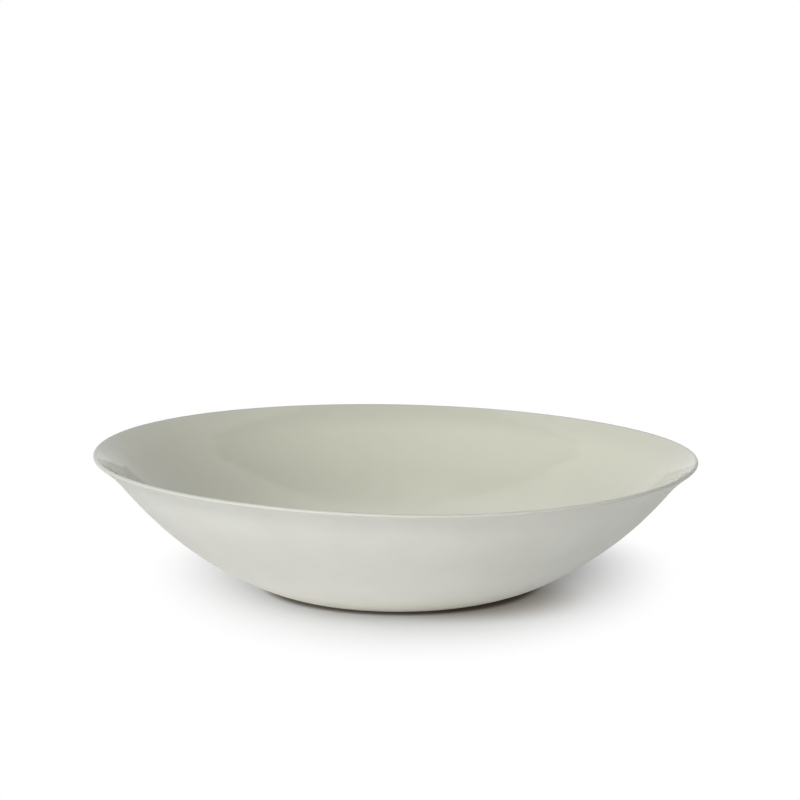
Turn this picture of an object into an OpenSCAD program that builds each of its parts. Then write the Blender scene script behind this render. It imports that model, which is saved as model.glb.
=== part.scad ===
// Wide, shallow serving bowl in slip-cast porcelain.
// The bare porcelain is matte outside. The inside is glazed, and the glaze rolls over the lip.
// Millimetres, +Z up. The origin is the middle of the foot, on the table.

/* [Bowl] */
// Width across the lip, before the edge is cut by hand
rim_d = 340; // [290:5:400]
// Height of the lip above the table, before the edge is cut by hand
bowl_h = 78; // [66:0.5:95]
// Width of the flat foot
foot_d = 108; // [84:2:132]

/* [Wall] */
// Thickness of the floor, glaze and all
floor_t = 4; // [3.2:0.1:6]
// Thickness of the wall below the turned-out band, glaze and all
wall_t = 3; // [2.4:0.1:4]
// Thickness of the lip, glaze and all
lip_t = 2.4; // [1.8:0.1:3]
// Steepest rise of the wall, in degrees above level
wall_rise = 51; // [44:1:56]
// Level pull that rounds the foot into the wall
foot_pull = 22; // [12:1:32]
// Straight pull that carries the wall up to the turned-out band
wall_pull = 54; // [40:1:62]

/* [Turned-out band] */
// How far the lip reaches out from the steepest place of the wall
flare_w = 13; // [9:0.5:18]
// Height of the band that turns out
flare_h = 13.5; // [9:0.5:18]
// Rise of the band at the lip, in degrees above level
lip_rise = 36; // [28:1:44]

/* [Hand-cut edge] */
// Lift at the high side of the tilted edge
tilt_lift = 2.5; // [0:0.1:4]
// Where the high side lies, in degrees from +X
tilt_dir = 180; // [0:5:355]
// Lift of the two crests that face each other
oval_lift = 0.6; // [0:0.1:1.5]
// Where the first of the two crests lies, in degrees from +X
oval_dir = 0; // [0:5:175]
// Lift of the edge's three crests
three_lift = 0.5; // [0:0.1:1.2]
// Where the first of the three crests lies, in degrees from +X
three_dir = 110; // [0:5:115]
// Lift of the edge's four crests
four_lift = 0.2; // [0:0.1:0.6]
// Where the first of the four crests lies, in degrees from +X
four_dir = 66; // [0:2:88]

/* [Foot] */
// Width of the flat ring that the bowl stands on
stand_w = 7; // [5:0.5:12]
// Depth of the hollow inside that ring
hollow_h = 1; // [0.4:0.1:1.6]
// Width of the slope round the hollow
hollow_slope_w = 3; // [1:0.5:6]

/* [Glaze] */
// Thickness of the glaze
glaze_t = 0.3; // [0.2:0.05:0.5]
// Where the glaze stops on the round of the lip, in degrees above level
glaze_stop = -30; // [-45:5:0]

/* [Hidden] */

// Steps round the bowl, up the wall, up the turned-out band and over the lip
sides = 72;
wall_steps = 14;
flare_steps = 5;
lip_steps = 7;
// Handles of the band's curve, as a share of the distance that the curve spans
flare_pull_share = 0.33;
// Share of the lip's height below which the hand-cut edge changes nothing
cut_from_share = 0.35;
// Share of the lip's round over which the glaze grows to its full thickness
glaze_grow_share = 0.4;
// How far a cutter runs on past the face that it cuts
overrun = 1;

// Ring through the middle of the lip, as radius and height
lip_r = lip_t / 2;
lip_mid = [rim_d / 2 - lip_r, bowl_h - lip_r];
// Edge of the flat foot, steepest place of the wall, and start of the lip's round
foot_edge = [foot_d / 2, 0];
steep = lip_mid - [flare_w, flare_h];
lip_start = lip_mid - lip_r * inward(heading(lip_rise));
hollow_r = foot_d / 2 - stand_w;

// A direction in the plane of the profile, and its left side, which faces into the bowl
function heading(rise) = [cos(rise), sin(rise)];
function inward(dir) = [-dir.y, dir.x];
function unit(v) = v / norm(v);
function mix(a, b, s) = a + (b - a) * s;
// Eases from 0 to 1, level at both ends
function ease(s) = let (t = min(1, max(0, s))) t * t * (3 - 2 * t);

// A point and a direction on the curve with ends a and d and handles b and c
function on_curve(a, b, c, d, u) =
    a * pow(1 - u, 3) + b * 3 * u * pow(1 - u, 2) + c * 3 * u * u * (1 - u) + d * pow(u, 3);
function along_curve(a, b, c, d, u) =
    unit((b - a) * pow(1 - u, 2) + (c - b) * 2 * u * (1 - u) + (d - c) * u * u);

// A station is a point on the outer skin, the direction of the wall and its thickness there
function wall_station(u) =
    let (b = foot_edge + foot_pull * heading(0), c = steep - wall_pull * heading(wall_rise))
    [on_curve(foot_edge, b, c, steep, u), along_curve(foot_edge, b, c, steep, u),
     mix(floor_t, wall_t, ease(u))];
function flare_station(u) =
    let (pull = flare_pull_share * norm(lip_start - steep))
    let (b = steep + pull * heading(wall_rise), c = lip_start - pull * heading(lip_rise))
    [on_curve(steep, b, c, lip_start, u), along_curve(steep, b, c, lip_start, u),
     mix(wall_t, lip_t, ease(u))];
stations = concat(
    [for (i = [0:wall_steps]) wall_station(i / wall_steps)],
    [for (i = [1:flare_steps]) flare_station(i / flare_steps)]);
last = len(stations) - 1;

// How far the hand-cut edge is lifted at an angle round the bowl
function edge_lift(a) =
    tilt_lift * cos(a - tilt_dir) + oval_lift * cos(2 * (a - oval_dir))
    + three_lift * cos(3 * (a - three_dir)) + four_lift * cos(4 * (a - four_dir));
// Share of that lift which a height on the outer skin takes
function cut_share(z) = ease((z / lip_start.y - cut_from_share) / (1 - cut_from_share));

// A row is a radius, a height and a share of the edge's lift, and is one ring of the bowl
function outer_row(i) =
    let (p = stations[i][0])
    [p.x, p.y, cut_share(p.y)];
function inner_row(i, skin) =
    let (s = stations[i], p = s[0] + (s[2] - skin) * inward(s[1]))
    [p.x, p.y, cut_share(s[0].y)];
// Rings over the lip, on the glaze and on the porcelain under it
function glaze_lip_row(i, r = lip_r) =
    let (p = lip_mid + r * heading(mix(glaze_stop, lip_rise + 90, i / lip_steps)))
    [p.x, p.y, 1];
function body_lip_row(i) =
    glaze_lip_row(i, lip_r - glaze_t * ease(i / lip_steps / glaze_grow_share));
// A row of no radius closes a solid at the middle
function middle_row(z) = [0, z, 0];

// Joins rows into one closed solid. The first row and the last are middle rows.
module ring_solid(rows) {
    rings = len(rows) - 2;
    function place(row, j) =
        let (a = 360 * j / sides, lift = row.z * edge_lift(a), r = row.x + lift / tan(wall_rise))
        [r * cos(a), r * sin(a), row.y + lift];
    function at(i, j) = 1 + i * sides + j % sides;
    end = 1 + rings * sides;
    polyhedron(
        points = concat(
            [[0, 0, rows[0].y]],
            [for (i = [1:rings]) for (j = [0:sides - 1]) place(rows[i], j)],
            [[0, 0, rows[rings + 1].y]]),
        faces = concat(
            [for (j = [0:sides - 1]) [0, at(0, j), at(0, j + 1)]],
            [for (i = [0:rings - 2]) for (j = [0:sides - 1]) each [
                [at(i, j), at(i + 1, j), at(i + 1, j + 1)],
                [at(i, j), at(i + 1, j + 1), at(i, j + 1)]]],
            [for (j = [0:sides - 1]) [at(rings - 1, j), end, at(rings - 1, j + 1)]]));
}

// Cutter for the shallow hollow that leaves a ring to stand on
module foot_hollow() {
    rotate_extrude($fn = sides)
        polygon([
            [0, -overrun],
            [hollow_r, -overrun],
            [hollow_r, 0],
            [hollow_r - hollow_slope_w, hollow_h],
            [0, hollow_h]]);
}

// The cast porcelain: foot, wall and the core of the lip
module porcelain_body() {
    color([0.83, 0.83, 0.80])
        difference() {
            ring_solid(concat(
                [middle_row(0)],
                [for (i = [0:last]) outer_row(i)],
                [for (i = [0:lip_steps]) body_lip_row(i)],
                [for (i = [last - 1:-1:0]) inner_row(i, glaze_t)],
                [middle_row(floor_t - glaze_t)]));
            foot_hollow();
        }
}

// The fired glaze: the whole inside and over the lip, thinning to nothing outside it
module glaze_lining() {
    color([0.78, 0.78, 0.71])
        ring_solid(concat(
            [middle_row(floor_t - glaze_t)],
            [for (i = [0:last - 1]) inner_row(i, glaze_t)],
            [for (i = [lip_steps:-1:1]) body_lip_row(i)],
            [for (i = [0:lip_steps]) glaze_lip_row(i)],
            [for (i = [last - 1:-1:0]) inner_row(i, 0)],
            [middle_row(floor_t)]));
}

porcelain_body();
glaze_lining();
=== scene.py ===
# A wide, shallow serving bowl in cast porcelain: bare and matte outside, glazed inside.
# It stands on a pale floor in soft studio light. Lengths are metres and angles degrees, +Z is up,
# and the origin is the middle of the foot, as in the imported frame.
import math
import bpy
import numpy as np
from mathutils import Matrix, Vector


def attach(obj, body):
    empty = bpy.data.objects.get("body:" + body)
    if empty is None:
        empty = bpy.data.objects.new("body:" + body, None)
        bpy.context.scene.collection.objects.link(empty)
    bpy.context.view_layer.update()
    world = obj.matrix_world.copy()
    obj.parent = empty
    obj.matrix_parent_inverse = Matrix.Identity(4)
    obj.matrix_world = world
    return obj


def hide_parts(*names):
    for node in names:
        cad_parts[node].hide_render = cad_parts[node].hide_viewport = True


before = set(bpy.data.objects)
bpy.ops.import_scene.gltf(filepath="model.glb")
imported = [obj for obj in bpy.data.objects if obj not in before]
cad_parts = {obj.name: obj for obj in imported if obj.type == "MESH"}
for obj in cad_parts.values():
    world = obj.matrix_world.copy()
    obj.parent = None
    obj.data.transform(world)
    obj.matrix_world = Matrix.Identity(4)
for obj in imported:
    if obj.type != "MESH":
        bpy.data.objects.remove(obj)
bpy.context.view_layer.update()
print("frame: the packed bowl is in, with", len(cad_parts), "nodes")

# The bowl's form: the sizes that its construction has, but for the lip's width and the height,
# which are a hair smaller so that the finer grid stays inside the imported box
bowlForm = dict(
    rimWidth=0.33985, height=0.07798, footWidth=0.108,
    floorThick=0.004, wallThick=0.003, lipThick=0.0024,
    wallRise=51, footPull=0.022, wallPull=0.054,
    flareWidth=0.013, flareHeight=0.0135, lipRise=36, flarePullShare=0.33,
    standWidth=0.007, hollowDepth=0.001, hollowSlope=0.003,
    # the hand-cut edge: number of crests, lift of each, and where the first one lies
    edgeWaves=((1, 0.0025, 180), (2, 0.0006, 0), (3, 0.0005, 110), (4, 0.0002, 66)),
    cutFromShare=0.35)


def ease(s):
    # 0 to 1, level at both ends: 3 s squared minus 2 s cubed, held at 0 and 1 outside
    t = np.clip(s, 0, 1)
    return t * t * (3 - 2 * t)


def heading(rise):
    # unit vector in the plane of the profile, which rises at that angle
    return np.array([math.cos(math.radians(rise)), math.sin(math.radians(rise))])


def inward(direction):
    # the left side of a direction, a quarter turn round, which faces into the bowl
    return np.stack([-direction[..., 1], direction[..., 0]], axis=-1)


def curveThrough(a, b, c, d, u):
    # cubic curve from a to d with handles b and c: its points, and its unit directions
    u = np.asarray(u)[:, None]
    points = a * (1 - u) ** 3 + b * 3 * u * (1 - u) ** 2 + c * 3 * u * u * (1 - u) + d * u ** 3
    along = (b - a) * (1 - u) ** 2 + (c - b) * 2 * u * (1 - u) + (d - c) * u * u
    return points, along / np.linalg.norm(along, axis=1)[:, None]


def lipCentre(form):
    # the lip's round: its radius is half the lip's thickness, and its middle lies that far inside
    # the width and below the height
    lipRadius = form["lipThick"] / 2
    return lipRadius, np.array([form["rimWidth"] / 2 - lipRadius, form["height"] - lipRadius])


def wallLine(form, wallSteps, flareSteps):
    # the outer skin from the foot's edge to the lip's round, in two curves that meet at the
    # steepest place: points (radius, height), directions, wall thickness
    lipRadius, lipMiddle = lipCentre(form)
    footEdge = np.array([form["footWidth"] / 2, 0.0])
    steepest = lipMiddle - [form["flareWidth"], form["flareHeight"]]
    lipStart = lipMiddle - lipRadius * inward(heading(form["lipRise"]))
    u = np.linspace(0, 1, wallSteps + 1)
    v = np.linspace(0, 1, flareSteps + 1)[1:]
    lowPoints, lowAlong = curveThrough(
        footEdge, footEdge + form["footPull"] * heading(0),
        steepest - form["wallPull"] * heading(form["wallRise"]), steepest, u)
    pull = form["flarePullShare"] * np.linalg.norm(lipStart - steepest)
    topPoints, topAlong = curveThrough(
        steepest, steepest + pull * heading(form["wallRise"]),
        lipStart - pull * heading(form["lipRise"]), lipStart, v)
    thick = np.concatenate([
        form["floorThick"] + (form["wallThick"] - form["floorThick"]) * ease(u),
        form["wallThick"] + (form["lipThick"] - form["wallThick"]) * ease(v)])
    return np.concatenate([lowPoints, topPoints]), np.concatenate([lowAlong, topAlong]), thick


def cutShare(form, height):
    # share of the edge's lift at a height on the outer skin: none low down, all of it at the lip
    lipRadius, lipMiddle = lipCentre(form)
    lipStartHeight = lipMiddle[1] - lipRadius * math.cos(math.radians(form["lipRise"]))
    start = form["cutFromShare"]
    return ease((height / lipStartHeight - start) / (1 - start))


def edgeLift(form, angle):
    # lift of the hand-cut edge round the bowl: the sum, over its waves, of the wave's lift times the
    # cosine of its crests times the angle from its first crest
    return sum(lift * np.cos(crests * (angle - math.radians(first)))
               for crests, lift, first in form["edgeWaves"])


def lipRound(form, fromAngle, radius, steps):
    # arc over the lip, from an angle outside to where the inner skin starts: the middle of the
    # lip's round plus radius times (cosine, sine) of the angle
    middle = lipCentre(form)[1]
    turn = np.radians(np.linspace(fromAngle, form["lipRise"] + 90, steps + 1))
    arm = np.broadcast_to(radius, turn.shape)[:, None]
    return middle + arm * np.stack([np.cos(turn), np.sin(turn)], axis=-1)


# The faint unevenness of handwork: how many waves run round the bowl, how many half turns they
# lean by up the wall, and the shares of the way up in which they ease in and out
handWork = dict(crests=(2, 3, 5, 7, 11), leastLean=2, mostLean=9, footShare=0.25, lipShare=0.2)


def handWaver(rows, angle, size, seed):
    # push along the normal: size times the sum of sine(crests times angle + lean times share of
    # the way up times pi + phase) / root of crests, eased to nothing at the foot and at the lip
    rng = np.random.default_rng(seed)
    climb = np.concatenate([[0], np.cumsum(np.linalg.norm(np.diff(rows[:, :2], axis=0), axis=1))])
    share = climb / climb[-1]
    total = np.zeros((len(rows), len(angle)))
    for crests in handWork["crests"]:
        phase = rng.uniform(0, 2 * math.pi)
        lean = rng.uniform(handWork["leastLean"], handWork["mostLean"])
        wave = np.sin(crests * angle[None, :] + lean * share[:, None] * math.pi + phase)
        total += wave / math.sqrt(crests)
    fade = ease(share / handWork["footShare"]) * ease((1 - share) / handWork["lipShare"])
    return size * fade[:, None] * total


def ringGrid(form, rows, around, waver=None):
    # turns rows (radius, height, share of the edge's lift) round the axis: a grid of points.
    # The lift moves a point up along the wall's steepest direction.
    angle = np.linspace(0, 2 * math.pi, around, endpoint=False)
    lift = rows[:, 2:3] * edgeLift(form, angle)[None, :]
    radius = rows[:, 0:1] + lift / math.tan(math.radians(form["wallRise"]))
    height = rows[:, 1:2] + lift
    if waver is not None:
        along = np.gradient(rows[:, :2], axis=0)
        side = inward(along / np.linalg.norm(along, axis=1)[:, None])
        push = handWaver(rows, angle, *waver)
        radius = radius + side[:, 0:1] * push
        height = height + side[:, 1:2] * push
    return np.stack([radius * np.cos(angle), radius * np.sin(angle), height], axis=-1)


def closedRings(name, grid, levels, firstHeight, lastHeight):
    # one closed mesh from a grid of rings: quads between rings, and a fan of triangles to a
    # point on the axis at each end. Each point carries its ring's height before the edge was cut.
    rings, around = grid.shape[:2]
    points = np.concatenate([
        grid.reshape(-1, 3), [[0, 0, firstHeight], [0, 0, lastHeight]]])
    here = np.arange(rings * around).reshape(rings, around)
    beside = np.roll(here, -1, axis=1)
    quads = np.stack([here[:-1], beside[:-1], beside[1:], here[1:]], axis=-1).reshape(-1, 4)
    firstFan = np.stack([
        np.full(around, rings * around), beside[0], here[0]], axis=-1)
    lastFan = np.stack([
        np.full(around, rings * around + 1), here[-1], beside[-1]], axis=-1)
    mesh = bpy.data.meshes.new(name)
    mesh.from_pydata(points.tolist(), [], quads.tolist() + firstFan.tolist() + lastFan.tolist())
    mesh.polygons.foreach_set("use_smooth", np.ones(len(mesh.polygons), dtype=bool))
    carried = mesh.attributes.new("ringLevel", "FLOAT", "POINT")
    carried.data.foreach_set("value", np.concatenate([
        np.repeat(levels, around), [firstHeight, lastHeight]]).astype(np.float32))
    mesh.validate()
    piece = bpy.data.objects.new(name, mesh)
    bpy.context.scene.collection.objects.link(piece)
    return piece


def rowsOf(points, share):
    # rows for ringGrid from points (radius, height) and their share of the edge's lift
    return np.column_stack([points, np.broadcast_to(share, len(points))])


# Steps of the grid, the same on both pieces so that they lie face to face: round the bowl, up the
# wall and the turned-out band, over the lip, up the hollow's slope and across the floor, where the
# power below 1 sets the rings closer together towards the edge
gridSteps = dict(around=360, wallSteps=64, flareSteps=20, lipSteps=14, slopeSteps=10, floorSteps=8,
                 floorPower=0.7)


def spokes(radius, height, steps, power):
    # level rows from just off the axis to just inside a radius: radius times share to a power
    reach = radius * np.linspace(0, 1, steps + 1)[1:-1] ** power
    return np.column_stack([reach, np.full(len(reach), height), np.zeros(len(reach))])


# The bare porcelain: foot, hollow under it, outer wall, and the core of the lip under the glaze
porcelainPiece = dict(waverSize=0.00004, waverSeed=11)
# The glaze: over the whole inside and over the lip, down to where it stops outside it. It grows to
# its full thickness over a share of the lip's round.
glazePiece = dict(thick=0.0003, stopAngle=-30, growShare=0.4, waverSize=0.00003, waverSeed=23)


def porcelainRows(form, grid, glaze):
    # rings up the slope under the foot, up the outer skin, over the lip's core and down the inner
    # skin. The inner skin is the outer one plus (wall less glaze) times the inward normal, and the
    # core's radius is the lip's less the glaze, eased in.
    points, along, thick = wallLine(form, grid["wallSteps"], grid["flareSteps"])
    share = cutShare(form, points[:, 1])
    hollowEdge = form["footWidth"] / 2 - form["standWidth"]
    slope = np.linspace(0, 1, grid["slopeSteps"] + 1)
    underFoot = np.column_stack([
        hollowEdge - form["hollowSlope"] * (1 - slope),
        form["hollowDepth"] * (1 - ease(slope)), np.zeros(len(slope))])
    steps = np.linspace(0, 1, grid["lipSteps"] + 1)
    core = form["lipThick"] / 2 - glaze["thick"] * ease(steps / glaze["growShare"])
    lip = lipRound(form, glaze["stopAngle"], core, grid["lipSteps"])
    inner = points + (thick - glaze["thick"])[:, None] * inward(along)
    return dict(
        underFoot=underFoot, outer=rowsOf(points, share), lip=rowsOf(lip, 1.0),
        inner=np.column_stack([inner, share])[-2::-1])


def glazeRows(form, grid, glaze):
    # rings of the glaze's own face: over the lip, and down the inside, which is the outer skin plus
    # the whole wall times the inward normal
    points, along, thick = wallLine(form, grid["wallSteps"], grid["flareSteps"])
    share = cutShare(form, points[:, 1])
    lip = lipRound(form, glaze["stopAngle"], form["lipThick"] / 2, grid["lipSteps"])
    top = points + thick[:, None] * inward(along)
    return dict(lip=rowsOf(lip, 1.0), top=np.column_stack([top, share])[-2::-1])


body = porcelainRows(bowlForm, gridSteps, glazePiece)
coat = glazeRows(bowlForm, gridSteps, glazePiece)
around = gridSteps["around"]
floorLevel = bowlForm["floorThick"]
bodyFloorLevel = floorLevel - glazePiece["thick"]
footRadius = bowlForm["footWidth"] / 2
floorGrid = gridSteps["floorSteps"], gridSteps["floorPower"]
floorRows = spokes(footRadius, floorLevel, *floorGrid)
bodyFloorRows = spokes(footRadius, bodyFloorLevel, *floorGrid)
hollowRows = spokes(body["underFoot"][0, 0], bowlForm["hollowDepth"], *floorGrid)

underRows = np.concatenate([hollowRows, body["underFoot"]])
coreRows = np.concatenate([body["lip"], body["inner"], bodyFloorRows[::-1]])
bodyGrid = np.concatenate([
    ringGrid(bowlForm, underRows, around),
    ringGrid(bowlForm, body["outer"], around,
             (porcelainPiece["waverSize"], porcelainPiece["waverSeed"])),
    ringGrid(bowlForm, coreRows, around)])
porcelain = closedRings(
    "porcelain", bodyGrid, np.concatenate([underRows, body["outer"], coreRows])[:, 1],
    bowlForm["hollowDepth"], bodyFloorLevel)

backRows = np.concatenate([bodyFloorRows, body["inner"][::-1], body["lip"][:0:-1], coat["lip"]])
topRows = np.concatenate([coat["top"], floorRows[::-1]])
coatGrid = np.concatenate([
    ringGrid(bowlForm, backRows, around),
    ringGrid(bowlForm, topRows, around,
             (glazePiece["waverSize"], glazePiece["waverSeed"]))])
# outside the crest of the lip the levels run on upwards: twice the crest's height less the ring's
overLip = coat["lip"][:, 1].copy()
crest = overLip.argmax()
overLip[:crest] = 2 * overLip[crest] - overLip[:crest]
coatLevels = np.concatenate([backRows[:-len(overLip), 1], overLip, topRows[:, 1]])
glaze = closedRings("glaze", coatGrid, coatLevels, bodyFloorLevel, floorLevel)
print("bowl: porcelain has", len(porcelain.data.polygons), "faces, glaze has",
      len(glaze.data.polygons))


def addTo(tree):
    # a helper that adds a node to a tree, and sets its inputs or joins them to other nodes
    def add(kind, inputs=None, **settings):
        node = tree.nodes.new("ShaderNode" + kind)
        for key, value in settings.items():
            setattr(node, key, value)
        for key, value in (inputs or {}).items():
            if isinstance(value, bpy.types.NodeSocket):
                tree.links.new(value, node.inputs[key])
            else:
                node.inputs[key].default_value = value
        return node

    return add


def newMaterial(name):
    # an empty material, and the helper that adds nodes to it
    material = bpy.data.materials.new(name)
    material.use_nodes = True
    material.node_tree.nodes.clear()
    return material, addTo(material.node_tree)


def reckon(add, operation, *values):
    # one step of arithmetic on numbers or sockets
    return add("Math", dict(enumerate(values)), operation=operation).outputs[0]


def between(add, value, start, end):
    # 0 at start and 1 at end, eased in between and held beyond them. Start may be the larger one.
    return add("MapRange", {"Value": value, "From Min": start, "From Max": end},
               interpolation_type="SMOOTHSTEP").outputs["Result"]


def blended(add, share, first, second, way="MIX"):
    # first colour to second by a share, each a socket or three numbers
    ends = {key: value if isinstance(value, bpy.types.NodeSocket) else (*value, 1)
            for key, value in (("Color1", first), ("Color2", second))}
    return add("MixRGB", {"Fac": share, **ends}, blend_type=way).outputs["Color"]


def cloud(add, place, scale, detail, roughness):
    # soft noise of that many cells to the metre, with finer layers and how strong these are
    return add("TexNoise", {"Vector": place, "Scale": scale, "Detail": detail,
                            "Roughness": roughness}).outputs["Fac"]


def bumped(add, height, depth, under=None, **settings):
    # the normal of a surface with bumps of that depth, on top of the bumps under them
    inputs = {"Height": height, "Distance": depth, "Strength": 1.0}
    if under is not None:
        inputs["Normal"] = under
    return add("Bump", inputs, **settings).outputs["Normal"]


def cellMiddles(add, place, scale, emptyShare, span):
    # 1 at the middles of a few cells and 0 elsewhere: a cell is left empty where its random number
    # is below the empty share, and the span gives the distances where the rest fade
    cells = add("TexVoronoi", {"Vector": place, "Scale": scale})
    drawn = add("SeparateXYZ", {0: cells.outputs["Color"]}).outputs["X"]
    few = reckon(add, "GREATER_THAN", drawn, emptyShare)
    return reckon(add, "MULTIPLY", few, between(add, cells.outputs["Distance"], span[1], span[0]))


def bowlPlaces(add):
    # where a point is: its place, its ring's level, its distance from the axis, and the unit vector
    # from the axis to it
    place = add("TexCoord").outputs["Object"]
    parts = add("SeparateXYZ", {0: place}).outputs
    flat = add("CombineXYZ", {0: parts["X"], 1: parts["Y"]}).outputs[0]
    radius = add("VectorMath", {0: flat}, operation="LENGTH").outputs["Value"]
    outward = add("VectorMath", {0: flat}, operation="NORMALIZE").outputs[0]
    level = add("Attribute", attribute_name="ringLevel").outputs["Fac"]
    return place, level, radius, outward


def alongRings(add, place, radius, outward, size):
    # a place drawn out along the bowl's rings, in which noise makes fine lines that run round it:
    # the unit vector outwards times a size, and radius plus height as the third part
    turned = add("SeparateXYZ", {0: outward}).outputs
    climb = reckon(add, "ADD", radius, add("SeparateXYZ", {0: place}).outputs["Z"])
    return add("CombineXYZ", {
        0: reckon(add, "MULTIPLY", turned["X"], size),
        1: reckon(add, "MULTIPLY", turned["Y"], size), 2: climb}).outputs[0]


# Bare porcelain: satin, with cloudy tone, fine grain, soft lines where it was wiped, a few dark
# grains, a paler band low down that is painted light, and a rubbed ring to stand on. A noise is its
# scale, detail and roughness, and a span is where a share starts to change and where it ends.
porcelainFinish = dict(
    colour=(0.516, 0.518, 0.480), deepColour=(0.494, 0.493, 0.452), cloudNoise=(24.0, 5.0, 0.55),
    cloudSpan=(0.30, 0.70),
    wipeNoise=(520.0, 4.0, 0.62), wipeSize=0.012, wipeTone=0.035, wipeDepth=0.000020,
    grainNoise=(2600.0, 2.0, 0.6), grainDepth=0.000012,
    paleTop=0.042, pale=0.095, warmTop=0.021, warmShare=0.8, warmColour=(0.614, 0.590, 0.492),
    speckScale=420.0, speckEmpty=0.985, speckSpan=(0.05, 0.16), speckShare=0.5,
    speckColour=(0.36, 0.33, 0.28),
    standSpan=(0.00002, 0.0003), rubNoise=(900.0, 3.0, 0.5), rubSpan=(0.42, 0.62), rubShare=0.6,
    rubLeast=0.25, rubRoughness=0.25, rubColour=(0.50, 0.485, 0.445),
    roughness=0.52, roughnessSpread=0.10, specular=0.42)


def porcelainMaterial(finish):
    material, add = newMaterial("bare_porcelain")
    place, level, radius, outward = bowlPlaces(add)
    rings = alongRings(add, place, radius, outward, finish["wipeSize"])
    clouds = cloud(add, place, *finish["cloudNoise"])
    wiping = cloud(add, rings, *finish["wipeNoise"])
    grain = cloud(add, place, *finish["grainNoise"])
    tone = blended(add, between(add, clouds, *finish["cloudSpan"]), finish["deepColour"],
                   finish["colour"])
    wiped = reckon(add, "MULTIPLY_ADD", wiping, finish["wipeTone"] * 2, 1 - finish["wipeTone"])
    tone = blended(add, 1.0, tone, wiped, "MULTIPLY")
    # paler low down, painted light that lifts the lower wall, and warmer right at the foot
    paintedLowLight = reckon(add, "MULTIPLY", between(add, level, finish["paleTop"], 0.0), finish["pale"])
    tone = blended(add, paintedLowLight, tone, (1, 1, 1), "ADD")
    warm = reckon(add, "MULTIPLY", between(add, level, finish["warmTop"], 0.0), finish["warmShare"])
    tone = blended(add, warm, tone, finish["warmColour"])
    # single dark grains
    grains = cellMiddles(add, place, finish["speckScale"], finish["speckEmpty"], finish["speckSpan"])
    speck = reckon(add, "MULTIPLY", grains, finish["speckShare"])
    tone = blended(add, speck, tone, finish["speckColour"])
    # the ring that it stands on is ground flat, and rubbed grey in patches
    standing = between(add, level, *finish["standSpan"][::-1])
    patches = between(add, cloud(add, place, *finish["rubNoise"]), *finish["rubSpan"])
    rubbed = reckon(add, "MULTIPLY", standing, reckon(
        add, "MULTIPLY_ADD", patches, finish["rubShare"], finish["rubLeast"]))
    tone = blended(add, rubbed, tone, finish["rubColour"])
    sheen = reckon(add, "MULTIPLY_ADD", clouds, -finish["roughnessSpread"],
                   finish["roughness"] + finish["roughnessSpread"] / 2)
    sheen = reckon(add, "MULTIPLY_ADD", rubbed, finish["rubRoughness"], sheen)
    lines = bumped(add, wiping, finish["wipeDepth"])
    shader = add("BsdfPrincipled", {
        "Base Color": tone, "Roughness": sheen, "Specular IOR Level": finish["specular"],
        "Normal": bumped(add, grain, finish["grainDepth"], lines)})
    add("OutputMaterial", {"Surface": shader.outputs["BSDF"]})
    return material


# Glaze: clear and glossy over the porcelain. It is pale grey-green, paler low down where it lies
# thick, greyer and duller where it runs thin at the lip, and it ripples a little. The grey at the lip
# is also painted shade that tones down the lit top of the lip. Noises and spans are given as for the
# porcelain, and a wander is how far the clouds shift a span.
glazeFinish = dict(
    colour=(0.500, 0.502, 0.419), cloudNoise=(16.0, 4.0, 0.5), cloudTone=0.02,
    pooledSpan=(0.118, 0.150), pooledWander=0.03, pooledColour=(0.580, 0.584, 0.492),
    streakNoise=(9.0, 4.0, 0.6), streakTone=0.02,
    thinSpan=(0.0777, 0.0786), thinWander=0.0006, thinCoatShadeColour=(0.412, 0.412, 0.374),
    rippleNoise=(95.0, 1.0, 0.2), rippleDepth=0.00023,
    fineNoise=(420.0, 2.0, 0.5), fineDepth=0.0000025,
    pinScale=300.0, pinEmpty=0.988, pinSpan=(0.02, 0.14), pinDepth=0.00008, pinShare=0.6,
    pinColour=(0.43, 0.42, 0.34),
    roughness=0.025, roughnessSpread=0.02, lipRoughness=0.35, ior=1.5)


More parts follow.
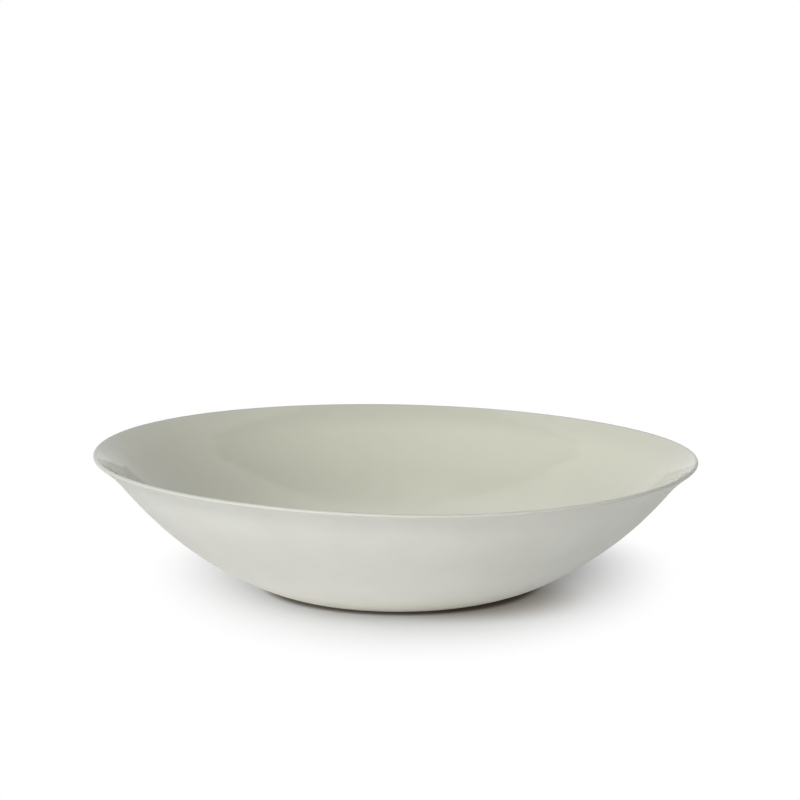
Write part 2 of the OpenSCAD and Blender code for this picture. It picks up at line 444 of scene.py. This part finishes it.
def glazeMaterial(finish):
    material, add = newMaterial("glaze")
    place, level, radius, outward = bowlPlaces(add)
    clouds = cloud(add, place, *finish["cloudNoise"])
    # thickness of the coat: thick low down, even on the wall, thin on the lip
    spread = reckon(add, "MULTIPLY_ADD", clouds, finish["pooledWander"], radius)
    pooled = between(add, spread, *finish["pooledSpan"][::-1])
    tone = blended(add, pooled, finish["colour"], finish["pooledColour"])
    # faint streaks down the wall, where the glaze was poured and ran
    streaks = cloud(add, outward, *finish["streakNoise"])
    streaked, clouded = (
        reckon(add, "MULTIPLY_ADD", noise, depth * 2, 1 - depth)
        for noise, depth in ((streaks, finish["streakTone"]), (clouds, finish["cloudTone"])))
    tone = blended(add, 1.0, tone, reckon(add, "MULTIPLY", streaked, clouded), "MULTIPLY")
    # the thin coat at the lip: greyer, and partly painted shade that tones down its lit top
    edge = reckon(add, "MULTIPLY_ADD", clouds, finish["thinWander"], level)
    thinCoatShade = between(add, edge, *finish["thinSpan"])
    tone = blended(add, thinCoatShade, tone, finish["thinCoatShadeColour"])
    # pinholes: small dimples
    dimple = cellMiddles(add, place, finish["pinScale"], finish["pinEmpty"], finish["pinSpan"])
    tone = blended(add, reckon(add, "MULTIPLY", dimple, finish["pinShare"]), tone,
                   finish["pinColour"])
    sheen = reckon(add, "MULTIPLY_ADD", clouds, finish["roughnessSpread"],
                   finish["roughness"] - finish["roughnessSpread"] / 2)
    sheen = reckon(add, "MULTIPLY_ADD", thinCoatShade, finish["lipRoughness"] - finish["roughness"], sheen)
    ripple = bumped(add, cloud(add, place, *finish["rippleNoise"]), finish["rippleDepth"])
    fine = bumped(add, cloud(add, place, *finish["fineNoise"]), finish["fineDepth"], ripple)
    shader = add("BsdfPrincipled", {
        "Base Color": tone, "Roughness": sheen, "IOR": finish["ior"],
        "Normal": bumped(add, dimple, finish["pinDepth"], fine, invert=True)})
    add("OutputMaterial", {"Surface": shader.outputs["BSDF"]})
    return material


porcelain.data.materials.append(porcelainMaterial(porcelainFinish))
glaze.data.materials.append(glazeMaterial(glazeFinish))
for piece, node, slot in ((porcelain, "porcelain_body", "bare_porcelain"),
                          (glaze, "glaze_lining", "glaze")):
    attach(piece, "root")
    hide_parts(node)
print("finish: both skins have their materials")


# The floor: pale paper. Near the bowl it is lit and keeps the shadow, and further out it turns to
# plain white for the camera and in reflections. The paper that the camera sees is darker than the
# paper that bounces light, a painted shade that deepens the shadow near the bowl. Its spots are the
# fade to white, a painted contact shadow close round the foot and a painted deeper shadow to the
# right of the front. Lengths in front of and behind a spot's middle count by its two factors.
floorSheet = dict(
    size=6.0, level=-0.0001, bouncePaper=(0.98, 0.98, 0.98), seenPaper=(0.506, 0.506, 0.506),
    clearWithin=0.053,
    fade=dict(middle=(0.0081, 0.0608, 0.0), front=0.662, back=1.0, start=0.0594, end=0.1585),
    contact=dict(middle=(0.0012, 0.0115, 0.0), front=1.0, back=1.4, start=0.0745, end=0.0825,
                 shade=(0.27, 0.24, 0.20)),
    side=dict(middle=(0.0419, -0.022, 0.0), front=1.0, back=1.0, start=0.0268, end=0.0707,
              shade=(0.62, 0.58, 0.53)))


def awayFrom(add, where, spot):
    # 0 at a spot's middle to 1 away from it, by the length of the way from it, in which the
    # part along Y is the larger of that part times each of the two factors
    way = add("VectorMath", {0: where, 1: spot["middle"]}, operation="SUBTRACT").outputs[0]
    front, back = (add("VectorMath", {0: way, 1: (1, spot[side], 1)}, operation="MULTIPLY").outputs[0]
                   for side in ("front", "back"))
    most = add("VectorMath", {0: front, 1: back}, operation="MAXIMUM").outputs[0]
    length = add("VectorMath", {0: most}, operation="LENGTH").outputs["Value"]
    return between(add, length, spot["start"], spot["end"])


def floorMaterial(sheet):
    # seen paper, darker than the paper that bounces light, takes the painted shadows of the spots,
    # and paper that only bounces light doesn't
    material, add = newMaterial("studio_paper")
    where = add("TexCoord").outputs["Object"]
    path = add("LightPath").outputs
    shade = (1, 1, 1)
    for spot in (sheet["contact"], sheet["side"]):
        spotShade = blended(add, awayFrom(add, where, spot), spot["shade"], (1, 1, 1))
        shade = blended(add, 1.0, shade, spotShade, "MULTIPLY")
    paper = blended(add, 1.0, sheet["seenPaper"], shade, "MULTIPLY")
    tone = blended(add, path["Is Camera Ray"], sheet["bouncePaper"], paper)
    lit = add("BsdfDiffuse", {"Color": tone})
    white = add("Emission", {"Color": shade, "Strength": 1.0})
    seen = reckon(add, "MAXIMUM", path["Is Camera Ray"], path["Is Glossy Ray"])
    share = reckon(add, "MULTIPLY", seen, awayFrom(add, where, sheet["fade"]))
    mixed = add("MixShader", {0: share, 1: lit.outputs["BSDF"], 2: white.outputs["Emission"]})
    # a camera below the floor sees through it, and under the foot it lets light through from below
    below = reckon(add, "MULTIPLY", path["Is Camera Ray"], add("NewGeometry").outputs["Backfacing"])
    distance = add("VectorMath", {0: where}, operation="LENGTH").outputs["Value"]
    inFoot = reckon(add, "LESS_THAN", distance, sheet["clearWithin"])
    sheer = add("MixShader", {0: reckon(add, "MAXIMUM", below, inFoot), 1: mixed.outputs["Shader"],
                              2: add("BsdfTransparent").outputs["BSDF"]})
    add("OutputMaterial", {"Surface": sheer.outputs["Shader"]})
    return material


def layFloor(sheet):
    # one square of that size, level, a little below the foot
    half = sheet["size"] / 2
    corners = [(x * half, y * half, sheet["level"]) for x, y in ((-1, -1), (1, -1), (1, 1), (-1, 1))]
    mesh = bpy.data.meshes.new("floor")
    mesh.from_pydata(corners, [], [(0, 1, 2, 3)])
    floor = bpy.data.objects.new("floor", mesh)
    bpy.context.scene.collection.objects.link(floor)
    mesh.materials.append(floorMaterial(sheet))


layFloor(floorSheet)
print("floor: the paper is laid, and it is", floorSheet["size"], "m wide")

# Softboxes: the direction each stands in (its bearing from +X, and up), how far, its size, how bright
# its face is, where 1 is white paper in full light, and whether reflections show it. The glaze
# would mirror the key softbox far brighter than white.
softboxes = dict(
    keyBox=dict(bearing=245, up=28, far=1.7, size=(2.3, 1.25), glow=4.4, mirrored=False),
    fillBox=dict(bearing=318, up=24, far=1.7, size=(1.7, 0.8), glow=1.2, mirrored=True))
# The room round them, as its brightness by direction. For lighting: a ring near the floor that is
# brighter behind the bowl, and one broad bright wall. In reflections: grey overhead and in front,
# and white behind the bowl, to both sides and in a round patch where the key softbox stands. The
# camera sees plain white.
studioRoom = dict(
    ringLevel=0.84, ringFront=0.3, ringLow=0.15, ringHigh=0.60, ringSoftness=0.3,
    wallBearing=172, wallUp=20, wallSpread=5.0, wallGlow=1.15,
    mirrorLevel=0.40, mirrorWhite=1.0, mirrorNear=0.23, mirrorBend=0.27, mirrorSide=0.97,
    mirrorSoftness=0.005, leastUp=0.05,
    patchBearing=245, patchUp=28, patchSpread=25)


def toward(bearing, up):
    # unit vector from the bowl to a place, by its angle round from +X and its angle up
    a, b = math.radians(bearing), math.radians(up)
    return Vector((math.cos(b) * math.cos(a), math.cos(b) * math.sin(a), math.sin(b)))


def hangSoftbox(name, box):
    # a lit rectangle that faces the origin: its power is glow times pi times its area
    width, height = box["size"]
    light = bpy.data.lights.new(name, "AREA")
    light.shape = "RECTANGLE"
    light.size, light.size_y = width, height
    light.energy = box["glow"] * math.pi * width * height
    lamp = bpy.data.objects.new(name, light)
    bpy.context.scene.collection.objects.link(lamp)
    way = toward(box["bearing"], box["up"])
    lamp.location = way * box["far"]
    lamp.rotation_euler = (-way).to_track_quat("-Z", "Y").to_euler()
    lamp.visible_glossy = box["mirrored"]


for name, box in softboxes.items():
    hangSoftbox(name, box)


def cosineTo(add, look, bearing, up):
    # cosine of the angle between where a ray looks and a direction in the room
    return add("VectorMath", {0: look, 1: toward(bearing, up)},
               operation="DOT_PRODUCT").outputs["Value"]


def paintRoom(room):
    world = bpy.data.worlds.new("studio_room")
    bpy.context.scene.world = world
    world.use_nodes = True
    world.node_tree.nodes.clear()
    add = addTo(world.node_tree)
    look = add("TexCoord").outputs["Generated"]
    way = add("SeparateXYZ", {0: look}).outputs
    # the ring: its level times a share that grows from front to back, eased to nothing upwards
    ring = between(add, way["Z"], room["ringHigh"], room["ringLow"])
    behind = between(add, way["Y"], -room["ringSoftness"], room["ringSoftness"])
    share = reckon(add, "MULTIPLY_ADD", behind, 1 - room["ringFront"], room["ringFront"])
    lit = reckon(add, "MULTIPLY", reckon(add, "MULTIPLY", ring, share), room["ringLevel"])
    # the bright wall: glow times e to the power of spread times (cosine to its middle - 1)
    facing = cosineTo(add, look, room["wallBearing"], room["wallUp"])
    power = reckon(add, "MULTIPLY_ADD", facing, room["wallSpread"], -room["wallSpread"])
    lit = reckon(add, "MULTIPLY_ADD", reckon(add, "EXPONENT", power), room["wallGlow"], lit)
    # in reflections the ceiling is grey as far as a bent line and out to both sides, and white
    # beyond. On a ceiling at height 1 that line is y = near + bend times x squared.
    upward = reckon(add, "MAXIMUM", way["Z"], room["leastUp"])
    across = reckon(add, "DIVIDE", way["X"], upward)
    line = reckon(add, "MULTIPLY_ADD", reckon(add, "MULTIPLY", across, across),
                  room["mirrorBend"], room["mirrorNear"])
    beyond = reckon(add, "MAXIMUM",
                    reckon(add, "SUBTRACT", reckon(add, "DIVIDE", way["Y"], upward), line),
                    reckon(add, "SUBTRACT", reckon(add, "ABSOLUTE", across), room["mirrorSide"]))
    # the patch: within an angle of its middle, by the cosine to it
    nearPatch = cosineTo(add, look, room["patchBearing"], room["patchUp"])
    inPatch = reckon(add, "SUBTRACT", nearPatch, math.cos(math.radians(room["patchSpread"])))
    beyond = reckon(add, "MAXIMUM", beyond, inPatch)
    white = between(add, beyond, -room["mirrorSoftness"], room["mirrorSoftness"])
    mirrored = reckon(add, "MULTIPLY_ADD", white, room["mirrorWhite"] - room["mirrorLevel"],
                      room["mirrorLevel"])
    path = add("LightPath")
    tone = blended(add, path.outputs["Is Glossy Ray"], lit, mirrored)
    tone = blended(add, path.outputs["Is Camera Ray"], tone, (1, 1, 1))
    backdrop = add("Background", {"Color": tone, "Strength": 1.0})
    add("OutputWorld", {"Surface": backdrop.outputs["Background"]})


paintRoom(studioRoom)
print("light:", len(softboxes), "softboxes and the room are set")

# The camera stands in front of the bowl and looks down on it a little, with a long lens. It aims a
# tilt above the point at the look height on the axis, and a hair to the right of it.
cameraStand = dict(distance=1.700, lookHeight=0.040, elevation=11.713, tiltUp=2.274, turn=0.025,
                   lens=134.53, sensor=36.0)


def standCamera(stand):
    # it aims along (sine of turn, cosine of turn) times the cosine of its slope, and the slope's sine
    lifted, turn = math.radians(stand["elevation"]), math.radians(stand["turn"])
    down = math.radians(stand["tiltUp"] - stand["elevation"])
    data = bpy.data.cameras.new("camera")
    data.lens, data.sensor_width = stand["lens"], stand["sensor"]
    camera = bpy.data.objects.new("camera", data)
    bpy.context.scene.collection.objects.link(camera)
    camera.location = (0, -stand["distance"] * math.cos(lifted),
                       stand["lookHeight"] + stand["distance"] * math.sin(lifted))
    ahead = Vector((math.sin(turn) * math.cos(down), math.cos(turn) * math.cos(down), math.sin(down)))
    camera.rotation_euler = ahead.to_track_quat("-Z", "Y").to_euler()
    bpy.context.scene.camera = camera


standCamera(cameraStand)
bpy.context.scene.view_settings.view_transform = "Standard"
print("camera: it stands", cameraStand["distance"], "m away")
